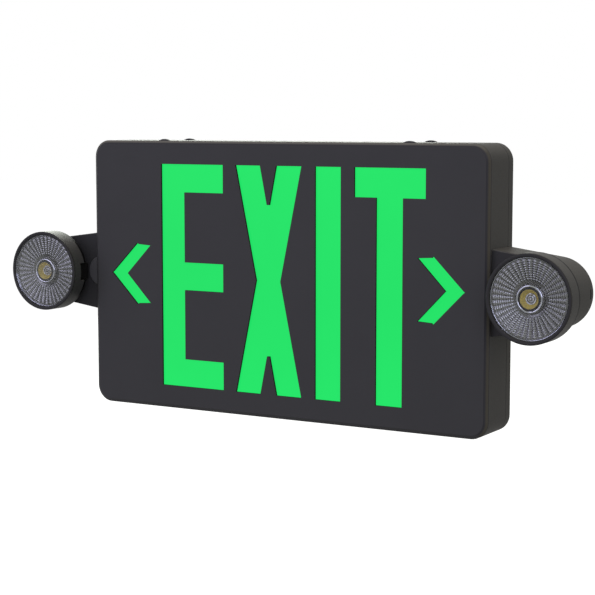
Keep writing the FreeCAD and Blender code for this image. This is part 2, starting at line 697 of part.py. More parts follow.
# ---- lamp heads ----
PF = -PUCK_FRONT
PR = PF + PUCK_D
HINGE_X = LAMP_X - HINGE_REACH
HINGE_Y = PR - HINGE_IN
NOTCH_Y = PR - NOTCH_D
GLASS_Y = PF + LIP_T + SEAT
GLASS_R = PUCK_R - PUCK_WALL - BEZEL_SKIRT_T - 2 * SEAT
DISH_Y = GLASS_Y + GLASS_T + SEAT
OPTIC_BACK = DISH_Y + 0.2 + OPTIC_T
LED_FRONT = OPTIC_BACK + SEAT
BOARD_REAR = LED_FRONT + LED_H + LED_BASE_T + DISC_T + 2 * SEAT


def swivel_hub():
    y1 = ARM_Y0 - FIT
    f = rod_y(LAMP_X, 0, FLANGE_R, y1 - FLANGE_T, y1)
    link_front = PR + LINK_GAP
    link = box(HINGE_X - KNUCKLE_R, LAMP_X, link_front, link_front + LINK_T,
               -LINK_W / 2, LINK_W / 2)
    lug = box(HINGE_X - KNUCKLE_R, HINGE_X + KNUCKLE_R, HINGE_Y, link_front + LINK_T,
              -LINK_W / 2, LINK_W / 2)
    knuckle = rod_z(HINGE_X, HINGE_Y, KNUCKLE_R, -LINK_W / 2, LINK_W / 2)
    shaft = rod_y(LAMP_X, 0, HUB_R, y1 - 1, HUB_BOSS + HUB_END)
    h = join(f, [link, lug, knuckle, shaft])
    return cut_all(h, [rod_y(LAMP_X, 0, HUB_BORE_R, PR, HUB_BOSS + HUB_END + 1),
                       rod_z(HINGE_X, HINGE_Y, PIN_R + RUN, -LINK_W, LINK_W)])


def friction_washer():
    y = HUB_BOSS + FIT
    return ring_y(LAMP_X, 0, WASHER_R, HUB_R + 0.1, y, y + WASHER_T)


def hub_nut():
    y = HUB_BOSS + FIT + WASHER_T + SEAT
    return ring_y(LAMP_X, 0, NUT_R, HUB_R + 0.02, y, y + NUT_T)


def hinge_pin():
    half = NOTCH_W / 2 + PIN_OVER
    return rod_z(HINGE_X, HINGE_Y, PIN_R, -half, half)


def lamp_shell():
    front, r = PF + BEZEL_T + SEAT, PUCK_R
    outer = rod_y(LAMP_X, 0, r, front, PR)
    outer = outer.makeFillet(PUCK_EDGE, front_edges(outer, PR))
    s = outer.cut(rod_y(LAMP_X, 0, r - PUCK_WALL, front - 1, PR - PUCK_FLOOR))
    half = NOTCH_W / 2 + POCKET_T
    block = box(LAMP_X - r, HINGE_X + NOTCH_IN + POCKET_FLOOR, NOTCH_Y - POCKET_FLOOR, PR,
                -half, half).common(outer)
    post = rod_y(LAMP_X, 0, POST_HOLD_R, BOARD_REAR, PR - 0.5)
    s = join(s, [block, post])
    notch = box(LAMP_X - r - 1, HINGE_X + NOTCH_IN, NOTCH_Y, PR + 1, -NOTCH_W / 2, NOTCH_W / 2)
    return cut_all(s, [notch, rod_z(HINGE_X, HINGE_Y, PIN_R, -half - 1, half + 1),
                       rod_y(LAMP_X + LEAD_X, 0, LEAD_R, PR - 3, PR + 1)])


def lamp_bezel():
    r = PUCK_R
    a, b = r - LIP, r - PUCK_WALL - SEAT
    skirt = PF + BEZEL_T + BEZEL_SKIRT_L
    prof = [(a, PF + 0.5), (a + 0.5, PF + 0.1), (a + 0.9, PF), (r - 0.9, PF), (r - 0.3, PF + 0.25),
            (r, PF + 0.8), (r, PF + BEZEL_T), (b, PF + BEZEL_T), (b, skirt),
            (b - BEZEL_SKIRT_T, skirt), (b - BEZEL_SKIRT_T, PF + LIP_T), (a, PF + LIP_T)]
    return turned(prof, LAMP_X, 0)


def lamp_glass():
    return rod_y(LAMP_X, 0, GLASS_R, GLASS_Y, GLASS_Y + GLASS_T)


def lamp_reflector():
    """Shallow silvered dish with raised radial flutes and a collar about the optic."""
    y, rim, root, deep, t = DISH_Y, GLASS_R - 0.9, DISH_ROOT, DISH_DEEP, DISH_T
    hole, step = OPTIC_R + 0.2, DISH_RIM
    prof = [(GLASS_R, y), (rim, y), (rim, y + step), (root, y + deep), (COLLAR_R, y + deep),
            (COLLAR_R - COLLAR_TOP, y),
            (hole + COLLAR_TOP, y), (hole, y + deep), (hole, y + deep + t), (root, y + deep + t),
            (rim, y + step + t), (GLASS_R, y + step + t)]
    dish = turned(prof, LAMP_X, 0)
    slope = (deep - step) / (rim - root)
    r0, r1 = root + 0.2, rim - 0.6
    ya, yb = y + deep - slope * (r0 - root), y + deep - slope * (r1 - root)
    w = FLUTE_W / 2
    ring = [V(LAMP_X + r0, ya + 0.3, -w), V(LAMP_X + r0, ya - FLUTE_H, -w),
            V(LAMP_X + r1, yb - FLUTE_H, -w), V(LAMP_X + r1, yb + 0.3, -w)]
    flute = Part.Face(Part.makePolygon(ring + ring[:1])).extrude(V(0, 0, FLUTE_W))
    flutes = []
    for i in range(FLUTES):
        one = flute.copy()
        one.rotate(V(LAMP_X, 0, 0), V(0, 1, 0), i * 360.0 / FLUTES)
        flutes.append(one)
    return dish.fuse(flutes)


def lamp_optic():
    """Low dome over the light source."""
    r = OPTIC_R
    edge, top = OPTIC_BACK - 0.3, DISH_Y + 0.2
    prof = [(0, OPTIC_BACK), (r, OPTIC_BACK), (r, edge)]
    prof += [(r * math.cos(a), edge - (edge - top) * math.sin(a))
             for a in (math.radians(18 * i) for i in range(1, 5))]
    prof += [(0, top)]
    return turned(prof, LAMP_X, 0)


def lamp_led():
    chip = rod_y(LAMP_X, 0, LED_R, LED_FRONT, LED_FRONT + LED_H)
    back = LED_FRONT + LED_H + LED_BASE_T
    half = LED_R + 0.5
    base = box(LAMP_X - half, LAMP_X + half, back - LED_BASE_T - 0.1, back, -half, half)
    return join(base, [chip])


def lamp_board():
    return rod_y(LAMP_X, 0, DISC_R, BOARD_REAR - SEAT - DISC_T, BOARD_REAR - SEAT)


os.makedirs("parts", exist_ok=True)

save("face_plate", face_plate())
save("legend_lens", legend_lens())
save("housing", housing())
save("back_plate", back_plate())
save("cover_screws", cover_screws())
save("light_tray", light_tray())
save("led_strip_top", led_strip(1))
save("led_strip_bottom", led_strip(-1))
save("sign_leds", sign_leds())
save("control_board", control_board())
save("board_screws", board_screws())
save("transformer", transformer())
save("board_parts", board_parts())
save("test_switch", test_switch())
save("test_button", test_button())
save("charge_indicator", charge_indicator())
save("battery_pack", battery_pack())
save("battery_clip", battery_clip())
save("clip_screws", clip_screws())
save("arm_screws", arm_screws())

PAIRS = [("port_cover", port_cover(1)), ("arm", arm()), ("arm_cover", arm_cover()),
         ("swivel_hub", swivel_hub()), ("friction_washer", friction_washer()),
         ("hub_nut", hub_nut()), ("hinge_pin", hinge_pin()), ("lamp_shell", lamp_shell()),
         ("lamp_bezel", lamp_bezel()), ("lamp_glass", lamp_glass()),
         ("lamp_reflector", lamp_reflector()), ("lamp_optic", lamp_optic()),
         ("lamp_led", lamp_led()), ("lamp_board", lamp_board())]
for name, shape in PAIRS:
    save(name + "_right", shape)
    save(name + "_left", other_side(shape))
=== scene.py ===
import bmesh
import bpy
import math
import numpy as np
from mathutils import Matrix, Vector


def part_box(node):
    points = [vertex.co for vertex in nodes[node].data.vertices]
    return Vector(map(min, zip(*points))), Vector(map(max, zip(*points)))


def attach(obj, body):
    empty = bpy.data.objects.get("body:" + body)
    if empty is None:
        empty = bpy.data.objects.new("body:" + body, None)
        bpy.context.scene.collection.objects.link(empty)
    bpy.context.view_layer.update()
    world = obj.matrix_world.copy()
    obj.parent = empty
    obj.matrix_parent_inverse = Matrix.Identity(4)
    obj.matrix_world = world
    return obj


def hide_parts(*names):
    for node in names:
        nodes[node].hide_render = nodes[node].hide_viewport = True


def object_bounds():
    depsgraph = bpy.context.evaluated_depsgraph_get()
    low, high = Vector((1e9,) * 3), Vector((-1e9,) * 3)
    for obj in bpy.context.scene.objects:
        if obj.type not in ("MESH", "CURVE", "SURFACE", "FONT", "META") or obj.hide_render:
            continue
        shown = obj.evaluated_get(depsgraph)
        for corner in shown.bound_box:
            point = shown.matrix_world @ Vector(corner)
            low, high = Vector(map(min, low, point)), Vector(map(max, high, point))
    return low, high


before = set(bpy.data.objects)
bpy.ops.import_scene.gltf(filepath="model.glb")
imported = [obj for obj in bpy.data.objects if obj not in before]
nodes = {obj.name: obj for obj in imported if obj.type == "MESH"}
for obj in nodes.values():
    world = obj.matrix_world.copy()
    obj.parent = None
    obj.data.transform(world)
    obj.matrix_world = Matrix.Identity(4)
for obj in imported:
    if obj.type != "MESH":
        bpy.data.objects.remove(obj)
cad_low, cad_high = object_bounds()
SIDES = (("right", 1.0), ("left", -1.0))


# ---- Studio ----
# A pale floor under the sign and a white surround, as in a product studio, with five large soft boxes.
# The surround is pure white to the eye, and plainer in reflections and as a light.
STUDIO_WHITE = "ffffff"
SURROUND_LIGHT = 0.80
SURROUND_GLOSS = 0.50
FLOOR_HALF = 6.0
FLOOR_DROP = 0.15           # a wall sign hangs clear of the floor, which lights its underside


def linear(hex_colour):
    """sRGB hex to linear RGBA: value / 12.92 near black, ((value + 0.055) / 1.055) to the power 2.4 above."""
    c = np.array([int(hex_colour[i:i + 2], 16) for i in (0, 2, 4)]) / 255.0
    value = np.where(c <= 0.04045, c / 12.92, ((c + 0.055) / 1.055) ** 2.4)
    return (*value.tolist(), 1.0)


def add(tree, kind, values=None, links=None, **settings):
    """Adds a node: settings are its properties, values its sockets' numbers, links what feeds its sockets."""
    n = tree.nodes.new(kind)
    for key, value in settings.items():
        setattr(n, key, value)
    for key, value in (values or {}).items():
        n.inputs[key].default_value = value
    for key, source in (links or {}).items():
        tree.links.new(source, n.inputs[key])
    return n


def rays(tree):
    """Two marks, each 0 or 1: rays from the eye, straight or through clear pieces, and rays from a gloss."""
    ray = add(tree, "ShaderNodeLightPath").outputs
    seen = add(tree, "ShaderNodeMath", operation="MAXIMUM",
               links={0: ray["Is Camera Ray"], 1: ray["Is Transmission Ray"]})
    return seen.outputs[0], ray["Is Glossy Ray"]


def material(name):
    """An empty node material: the material, its tree and its output node."""
    finish = bpy.data.materials.new(name)
    finish.use_nodes = True
    finish.node_tree.nodes.clear()
    return finish, finish.node_tree, add(finish.node_tree, "ShaderNodeOutputMaterial")


def put(name, data):
    """A new object at the origin that holds the given mesh, lamp or camera."""
    o = bpy.data.objects.new(name, data)
    bpy.context.scene.collection.objects.link(o)
    return o


world = bpy.data.worlds.new("white_surround")
bpy.context.scene.world = world
world.use_nodes = True
sky = world.node_tree
sky.nodes.clear()
seen, glossy = rays(sky)
plainer = add(sky, "ShaderNodeMath", {1: SURROUND_GLOSS - SURROUND_LIGHT, 2: SURROUND_LIGHT}, {0: glossy},
              operation="MULTIPLY_ADD")
level = add(sky, "ShaderNodeMath", operation="MAXIMUM", links={0: seen, 1: plainer.outputs[0]})
white = add(sky, "ShaderNodeBackground", {"Color": linear(STUDIO_WHITE)}, {"Strength": level.outputs[0]})
add(sky, "ShaderNodeOutputWorld", links={"Surface": white.outputs[0]})

floor_z = cad_low.z - FLOOR_DROP
floor_mesh = bpy.data.meshes.new("studio_floor")
floor_mesh.from_pydata([(-FLOOR_HALF, -FLOOR_HALF, floor_z), (FLOOR_HALF, -FLOOR_HALF, floor_z),
                        (FLOOR_HALF, FLOOR_HALF, floor_z), (-FLOOR_HALF, FLOOR_HALF, floor_z)],
                       [], [(0, 1, 2, 3)])
floor = put("studio_floor", floor_mesh)

# The floor's matt paint keeps shadows, a glow makes it white to the eye, and it is clear from below.
FLOOR_PAINT = "8c8c8c"
FLOOR_GLOW = 0.82
FLOOR_GLOSS = 0.18          # the glow, as glossy surfaces meet it
floor_paint, tree, out = material("matt_white_studio_paint")
seen, glossy = rays(tree)
gloss = add(tree, "ShaderNodeMath", {1: FLOOR_GLOSS}, {0: glossy}, operation="MULTIPLY")
glow = add(tree, "ShaderNodeMath", {1: FLOOR_GLOW}, {0: seen, 2: gloss.outputs[0]}, operation="MULTIPLY_ADD")
paint = add(tree, "ShaderNodeBsdfDiffuse", {"Color": linear(FLOOR_PAINT)})
shine = add(tree, "ShaderNodeEmission", {"Color": linear(STUDIO_WHITE)}, {"Strength": glow.outputs[0]})
upper = add(tree, "ShaderNodeAddShader", links={0: paint.outputs[0], 1: shine.outputs[0]})
under = add(tree, "ShaderNodeNewGeometry").outputs["Backfacing"]
clear = add(tree, "ShaderNodeBsdfTransparent", {"Color": linear(STUDIO_WHITE)})
sided = add(tree, "ShaderNodeMixShader", links={0: under, 1: upper.outputs[0], 2: clear.outputs[0]})
tree.links.new(sided.outputs[0], out.inputs["Surface"])
floor_mesh.materials.append(floor_paint)

# Each soft box has a name, a place, the length of its side, its power in watts and a tint.
SOFT_BOXES = (
    ("front_right_box", (0.9, -1.6, 0.7), 1.2, 10.5, (0.68, 0.67, 1.0)),
    ("right_box", (1.6, 0.1, 0.4), 1.2, 3.2, (1.0, 0.85, 0.20)),
    ("front_left_box", (-1.1, -1.5, 0.5), 1.2, 8.6, (0.70, 0.65, 1.0)),
    ("rear_left_box", (-1.1, 1.2, 0.5), 1.2, 17.5, (0.94, 1.0, 0.90)),
    ("top_box", (0.35, 0.0, 1.4), 1.0, 5.5, (1.0, 0.80, 0.45)),
)
for name, (x, y, z), size, power, tint in SOFT_BOXES:
    lamp = bpy.data.lights.new(name, "AREA")
    lamp.shape = "SQUARE"
    lamp.size = size
    lamp.energy = power
    lamp.color = tint
    soft_box = put(name, lamp)
    soft_box.location = (x, y, z)
    soft_box.rotation_euler = (math.atan2(math.hypot(x, y), z), 0.0, math.atan2(x, -y))  # faces the origin

# The camera stands a little right of the sign and above it.
VIEW_LENS = 100.33
VIEW_SENSOR = 36.0
VIEW_PLACE = (0.56150, -0.96913, 0.10815)
VIEW_YAW = math.radians(30.40)
VIEW_DOWN = math.radians(6.218)
camera = put("camera", bpy.data.cameras.new("camera"))
camera.data.lens = VIEW_LENS
camera.data.sensor_width = VIEW_SENSOR
camera.data.dof.use_dof = False
camera.location = VIEW_PLACE
camera.rotation_euler = (math.pi / 2 - VIEW_DOWN, 0.0, VIEW_YAW)
bpy.context.scene.camera = camera
bpy.context.scene.view_settings.view_transform = "Standard"


# ---- Sign box: face plate, housing, back plate and port covers ----
# Injection-moulded black ABS with a fine spark-eroded texture, clipped and screwed together from behind.
# The matt grain breaks up the reflections, so the black reads as a soft dark grey.
ABS_BLACK = "383838"
ABS_WORN = "3e3e3e"
ABS_ROUGH = 0.46
ABS_IOR = 1.53
ABS_SHEEN = 0.09            # specular level: the eroded grain scatters most of the gloss
ERODED_GRAIN = 0.0006       # real grit is near 0.15 mm, drawn coarser so that it shows
ERODED_DEPTH = 0.00004
GRAIN_SPREAD = 0.05         # how far the grain swings the roughness each way
WEAR_PATCH = 0.06           # handling shows in patches of about 6 cm
WEAR_SHARE = 0.35           # the furthest that a patch drifts towards the worn colour
TOP_LIFT_GREY = "8a8884"
TOP_LIFT_SHARE = 0.12           # how far faces that look straight up are lightened towards the grey
TOP_LIFT_LEAN = 0.3             # the upward part of a normal at which the lightening starts
MIX_FIRST, MIX_SECOND, MIX_RESULT = 6, 7, 2     # a colour mix's sockets, which share their names


def moulded(name, base, worn, roughness, ior=ABS_IOR, grain=ERODED_GRAIN, depth=ERODED_DEPTH,
            gloss_level=0.5, top_lift=0.0, painted_shade_band=None):
    """A moulded plastic.  Broad noise drifts base towards worn, fine noise is the grain, and top_lift
    lightens faces that look up.  A painted_shade_band paints shade: it gives the depth along Y at which the
    plastic starts to darken, the depth at which it is fully dark, and the dark colour."""
    finish, tree, out = material(name)
    place = add(tree, "ShaderNodeTexCoord").outputs["Object"]
    drift = add(tree, "ShaderNodeTexNoise", {"Scale": 1.0 / WEAR_PATCH, "Detail": 4.0, "Roughness": 0.6},
                {"Vector": place})
    grit = add(tree, "ShaderNodeTexNoise", {"Scale": 1.0 / grain, "Detail": 2.0}, {"Vector": place})
    wear = add(tree, "ShaderNodeMapRange", {"From Min": 0.35, "From Max": 0.75, "To Max": WEAR_SHARE},
               {"Value": drift.outputs["Fac"]})
    colour = add(tree, "ShaderNodeMix", {MIX_FIRST: linear(base), MIX_SECOND: linear(worn)},
                 {0: wear.outputs[0]}, data_type="RGBA").outputs[MIX_RESULT]
    if top_lift:
        facing = add(tree, "ShaderNodeNewGeometry").outputs["Normal"]
        up = add(tree, "ShaderNodeSeparateXYZ", links={0: facing})
        film = add(tree, "ShaderNodeMapRange", {"From Min": TOP_LIFT_LEAN, "To Max": top_lift},
                   {"Value": up.outputs["Z"]})
        colour = add(tree, "ShaderNodeMix", {MIX_SECOND: linear(TOP_LIFT_GREY)},
                     {0: film.outputs[0], MIX_FIRST: colour}, data_type="RGBA").outputs[MIX_RESULT]
    # The band darkens the colour as painted shade.
    if painted_shade_band:
        starts, full, dark = painted_shade_band
        axes = add(tree, "ShaderNodeSeparateXYZ", links={0: place})
        darker = add(tree, "ShaderNodeMapRange", {"From Min": starts, "From Max": full},
                     {"Value": axes.outputs["Y"]})
        colour = add(tree, "ShaderNodeMix", {MIX_SECOND: linear(dark)},
                     {0: darker.outputs[0], MIX_FIRST: colour}, data_type="RGBA").outputs[MIX_RESULT]
    rough = add(tree, "ShaderNodeMapRange",
                {"From Min": 0.3, "From Max": 0.7, "To Min": roughness - GRAIN_SPREAD,
                 "To Max": roughness + GRAIN_SPREAD}, {"Value": grit.outputs["Fac"]})
    bump = add(tree, "ShaderNodeBump", {"Strength": 0.5, "Distance": depth}, {"Height": grit.outputs["Fac"]})
    skin = add(tree, "ShaderNodeBsdfPrincipled", {"IOR": ior, "Specular IOR Level": gloss_level},
               {"Base Color": colour, "Roughness": rough.outputs[0], "Normal": bump.outputs[0]})
    tree.links.new(skin.outputs[0], out.inputs["Surface"])
    return finish


def dress(finish, *names):
    """Gives the named nodes one material in place of the one they came with."""
    for name in names:
        nodes[name].data.materials.clear()
        nodes[name].data.materials.append(finish)


def pairs(*names):
    """The right and the left node of each name."""
    return [name + "_" + side for name in names for side, _ in SIDES]


def faces_of(mesh):
    """Centre and normal of every face, as two arrays."""
    spot, facing = (np.empty(len(mesh.polygons) * 3, np.float32) for _ in range(2))
    mesh.polygons.foreach_get("center", spot)
    mesh.polygons.foreach_get("normal", facing)
    return spot.reshape(-1, 3), facing.reshape(-1, 3)


def finish_faces(mesh, slots):
    """Gives every face the material in its slot, from an array of slot numbers."""
    mesh.polygons.foreach_set("material_index", slots.astype(np.int32))


black_abs = moulded("black_abs_spark_eroded", ABS_BLACK, ABS_WORN, ABS_ROUGH, gloss_level=ABS_SHEEN,
                    top_lift=TOP_LIFT_SHARE)
dress(black_abs, "face_plate", "housing", "back_plate", *pairs("port_cover"))

# The walls of the cut letters and arrows are masked with flat black, which stops the green light from glowing
# on them.  Along the top and the right the plate's bevel is painted warmer and lighter as a painted
# highlight, with a painted shade line where it meets the front.
CUT_HALF_W, CUT_HALF_H = 0.138, 0.080       # the cuts lie inside this half width and half height
CUT_WALL = 0.5              # the normal of a cut's wall points forwards by less than this
LEAN, FLAT = 0.3, 0.95      # a bevel's points outwards by more than LEAN, and forwards by LEAN to FLAT
SHADE_LINE_STARTS, SHADE_LINE_FULL = 0.0012, 0.0006     # depths behind the front where the painted shade line starts and is full
light_stop = moulded("flat_black_light_stop", "242424", "282828", 0.95, ior=1.35, gloss_level=0.1)
plate_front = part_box("face_plate")[0].y
# The bevel's warm colours and strong lift towards the grey are a painted highlight, and the dark band by the
# front is painted shade.
painted_highlight_edge = moulded("black_abs_painted_highlight_edge", "403e37", "464439", 0.42, gloss_level=ABS_SHEEN, top_lift=0.55,
                      painted_shade_band=(plate_front + SHADE_LINE_STARTS, plate_front + SHADE_LINE_FULL, "303033"))
plate = nodes["face_plate"].data
plate.materials.append(light_stop)
plate.materials.append(painted_highlight_edge)
spot, facing = faces_of(plate)
forward = -facing[:, 1]
inner = (np.abs(spot[:, 0]) < CUT_HALF_W) & (np.abs(spot[:, 2]) < CUT_HALF_H)
top_or_right = np.maximum(facing[:, 0], facing[:, 2]) > LEAN
bevel = (forward > LEAN) & (forward < FLAT) & top_or_right & ~inner
finish_faces(plate, np.where(inner & (np.abs(forward) < CUT_WALL), 1, np.where(bevel, 2, 0)))


# ---- Legend lens ----
# One sheet of translucent green acrylic behind the cut letters and arrows, lit from the edge by two LED
# strips.  The light is even, with a slight lift near the strips at the top and bottom.
LEGEND_GREEN = "1de667"
LEGEND_BODY = "04200c"
LEGEND_HALF = 0.0762        # half the height of the letters
LEGEND_LEVEL = 0.93
STRIP_LIFT = 0.04           # how much brighter the letters' ends are than their middles
HAZE_PATCH = 0.025
HAZE_LIFT = 0.03
lens_green, tree, out = material("lit_green_acrylic_diffuser")
place = add(tree, "ShaderNodeTexCoord").outputs["Object"]
axes = add(tree, "ShaderNodeSeparateXYZ", links={0: place})
height = add(tree, "ShaderNodeMath", {1: 2.0}, {0: axes.outputs["Z"]}, operation="POWER")
lift = add(tree, "ShaderNodeMath", {1: STRIP_LIFT / LEGEND_HALF ** 2, 2: LEGEND_LEVEL},
           {0: height.outputs[0]}, operation="MULTIPLY_ADD")
haze = add(tree, "ShaderNodeTexNoise", {"Scale": 1.0 / HAZE_PATCH, "Detail": 2.0}, {"Vector": place})
glow = add(tree, "ShaderNodeMath", {1: HAZE_LIFT}, {0: haze.outputs["Fac"], 2: lift.outputs[0]},
           operation="MULTIPLY_ADD")
sheet = add(tree, "ShaderNodeBsdfPrincipled",
            {"Base Color": linear(LEGEND_BODY), "Roughness": 0.5, "IOR": 1.49, "Specular IOR Level": 0.15,
             "Emission Color": linear(LEGEND_GREEN)}, {"Emission Strength": glow.outputs[0]})
tree.links.new(sheet.outputs[0], out.inputs["Surface"])
dress(lens_green, "legend_lens")


# ---- Side arms and their covers ----
# Hollow ABS brackets in the same black, screwed to the housing from inside, each closed behind by a clipped
# cover.  The arm's front is grained deeper and painted darker as painted shade, where the head and the box
# hold the light off it, and the round boss on it is painted paler as a painted highlight.
BOSS_BAND = 0.0007          # faces this near to the arm's foremost depth are on the boss
ARM_FRONT = 0.9             # the arm's front faces point forwards by more than this
# The boss's paler colour is a painted highlight, and the front's darker colour is painted shade.
boss_painted_highlight_abs = moulded("black_abs_boss_painted_highlight", "474747", "4d4d4d", 0.42, gloss_level=ABS_SHEEN)
front_painted_shade_abs = moulded("black_abs_front_painted_shade", "303030", "353535", 0.55, gloss_level=ABS_SHEEN)
dress(black_abs, *pairs("arm", "arm_cover"))
boss_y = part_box("arm_right")[0].y + BOSS_BAND
for name in pairs("arm"):
    arm = nodes[name].data
    arm.materials.append(boss_painted_highlight_abs)
    arm.materials.append(front_painted_shade_abs)
    spot, facing = faces_of(arm)
    finish_faces(arm, np.where(spot[:, 1] < boss_y, 1, np.where(facing[:, 1] < -ARM_FRONT, 2, 0)))


# ---- Swivel hubs ----
# Natural black nylon, drier than the ABS, with its colour painted darker as painted shade, so the head's
# hinge slot and the gap behind it stay black.  Each hub turns in the round end of its arm.
# The near-black colour is painted shade for the hinge slot and the gap.
black_nylon_painted_shade = moulded("black_nylon_painted_shade", "101010", "151515", 0.6, ior=1.4, gloss_level=0.15)
dress(black_nylon_painted_shade, *pairs("swivel_hub"))


# ---- Lamp head shells ----
# Round cups of the same ABS, moulded a little smoother than the box, so they shine slightly more.  The last
# of a shell's wall, by the gap at the arm, is painted dark as painted shade.
SHADE_BAND_WIDTH, SHADE_BAND_SOFT = 0.0026, 0.0003       # width of the painted shade band, and of its soft edge
PAINTED_SHADE_BLACK = "060606"
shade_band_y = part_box("lamp_shell_right")[1].y - SHADE_BAND_WIDTH
# The dark band at the shell's rear is painted shade.
head_abs_with_shade = moulded("black_abs_satin_painted_shade", ABS_BLACK, ABS_WORN, 0.38, depth=0.00003, gloss_level=ABS_SHEEN,
                   top_lift=TOP_LIFT_SHARE, painted_shade_band=(shade_band_y, shade_band_y + SHADE_BAND_SOFT, PAINTED_SHADE_BLACK))
dress(head_abs_with_shade, *pairs("lamp_shell"))


# ---- Lamp reflectors ----
# A shallow vacuum-silvered dish with forty radial flutes, each broken by fine rings.  Flutes and rings
# scatter the silver into fans of small beads, and the crests are painted lighter as painted highlight and the
# valleys darker as painted shade.  The collar round the optic and the ring at the dish's rim are polished
# where the dish is ribbed.
head_low, head_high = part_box("lamp_bezel_right")
HEAD_X = (head_low.x + head_high.x) / 2.0
HEAD_R = (head_high.z - head_low.z) / 2.0
HEAD_FRONT = head_low.y
DISH_Y = HEAD_FRONT + 0.0024
DISH_R = HEAD_R - 0.0022
RIM_R, ROOT_R, BORE_R = HEAD_R - 0.0034, 0.0108, 0.0070
DISH_DEEP, DISH_STEP, DISH_THICK = 0.0016, 0.0002, 0.0008
DISH_EDGE = 0.0002          # the small bevels at the dish's rim and bore
FLUTES, FLUTE_RISE, FLUTE_SHARE = 40, 0.00022, 0.20
RING_PITCH, RING_RISE = 0.00135, 0.00013    # rings drawn a little wide, so that they show
RIB_FADE = 0.05             # share of the ribbed width over which the ribs rise at each end
DISH_ROWS, FLUTE_STEPS = 120, 10
TURNS = 96
MIST_PATCH = 0.004          # the silver's mist drifts over about 4 mm


def quads(rows, columns, close_rows, close_columns):
    """Corner numbers of the quads that join each point of a grid to its next row and column."""
    r = np.arange(rows if close_rows else rows - 1)[:, None]
    c = np.arange(columns if close_columns else columns - 1)[None, :]
    r2, c2 = (r + 1) % rows, (c + 1) % columns
    corners = (r * columns + c, r * columns + c2, r2 * columns + c2, r2 * columns + c)
    return np.stack(corners, -1).reshape(-1, 4)


def around(x, r, depth, angles):
    """A grid of points about the lamp axis through x: each radius at each angle, at the grid's depths."""
    return np.stack([x + r[:, None] * np.cos(angles), depth, r[:, None] * np.sin(angles)], -1)


def full_turn(steps):
    """Angles of one turn in even steps."""
    return np.linspace(0.0, 2.0 * math.pi, steps, endpoint=False)


def surface(name, points, faces, finish, painted_highlight=None):
    """An object from an array of points and one of faces, with doubles merged and faces turned outwards.
    painted_highlight, where given, is a mark of painted highlight, stored at each point for the material to
    read."""
    mesh = bpy.data.meshes.new(name)
    mesh.from_pydata(points.reshape(-1, 3).tolist(), [], faces.tolist())
    if painted_highlight is not None:
        marks = mesh.attributes.new("painted_highlight", "FLOAT", "POINT")
        marks.data.foreach_set("value", painted_highlight.ravel().astype(np.float32))
    b = bmesh.new()
    b.from_mesh(mesh)
    bmesh.ops.remove_doubles(b, verts=b.verts, dist=1e-7)
    bmesh.ops.recalc_face_normals(b, faces=b.faces)
    b.to_mesh(mesh)
    b.free()
    mesh.polygons.foreach_set("use_smooth", np.ones(len(mesh.polygons), bool))
    mesh.materials.append(finish)
    return put(name, mesh)


def turned(name, x, profile, finish, hollow=True, painted_highlight=None):
    """A profile of radius and depth behind the head's front, in mm, turned about the lamp axis through x.  A
    hollow one is a closed ring; a solid one starts and ends on the axis.  painted_highlight is one value per
    point."""
    r, y = 0.001 * np.array(profile, float).T
    depth = np.repeat((HEAD_FRONT + y)[:, None], TURNS, 1)
    marks = None if painted_highlight is None else np.repeat(np.array(painted_highlight, float)[:, None], TURNS, 1)
    points = around(x, r, depth, full_turn(TURNS))
    return surface(name, points, quads(len(r), TURNS, hollow, True), finish, marks)


def fluted_dish(x):
    """A closed profile turned about the lamp axis through x.  On the front, depth falls evenly from the rim
    to the root; flutes add FLUTE_RISE times the size of cos(half of FLUTES times the angle), and rings add
    RING_RISE times the square of (1 + cos(2 pi radius / RING_PITCH)) / 2.  Both fade out at the rim and the
    root.  Also gives a mark of painted highlight from 0 in the valleys to 1 on the crests: FLUTE_SHARE of it
    is the cube of the flutes' wave, and the rest is the rings, strongest along the flutes."""
    front_r = np.linspace(RIM_R, ROOT_R, DISH_ROWS)
    share = (RIM_R - front_r) / (RIM_R - ROOT_R)
    front_y = DISH_Y + DISH_STEP + share * (DISH_DEEP - DISH_STEP)
    fade = np.clip(np.minimum(share, 1.0 - share) / RIB_FADE, 0.0, 1.0)
    bead = (0.5 + 0.5 * np.cos(2.0 * math.pi * front_r / RING_PITCH)) ** 2
    root_y = DISH_Y + DISH_DEEP
    back_y = root_y + DISH_THICK
    step_y = DISH_Y + DISH_STEP + DISH_THICK
    rest = np.array([(BORE_R + DISH_EDGE, root_y), (BORE_R, root_y + DISH_EDGE), (BORE_R, back_y),
                     (ROOT_R, back_y), (RIM_R, step_y), (DISH_R, step_y), (DISH_R, DISH_Y),
                     (RIM_R + DISH_EDGE, DISH_Y)])
    plain = np.zeros(len(rest))
    r = np.concatenate([front_r, rest[:, 0]])
    y = np.concatenate([front_y, rest[:, 1]])
    flute = np.concatenate([fade, plain])
    ring = np.concatenate([fade * bead, plain])
    angles = full_turn(FLUTES * FLUTE_STEPS)
    wave = np.abs(np.cos(angles * FLUTES / 2.0))
    depth = y[:, None] - FLUTE_RISE * np.outer(flute, wave) - RING_RISE * ring[:, None]
    on_flutes = FLUTE_SHARE * np.outer(flute, wave ** 3)
    on_rings = (1.0 - FLUTE_SHARE) * np.outer(ring, 0.15 + 0.85 * wave)
    return around(x, r, depth, angles), quads(len(r), len(angles), True, True), on_flutes + on_rings


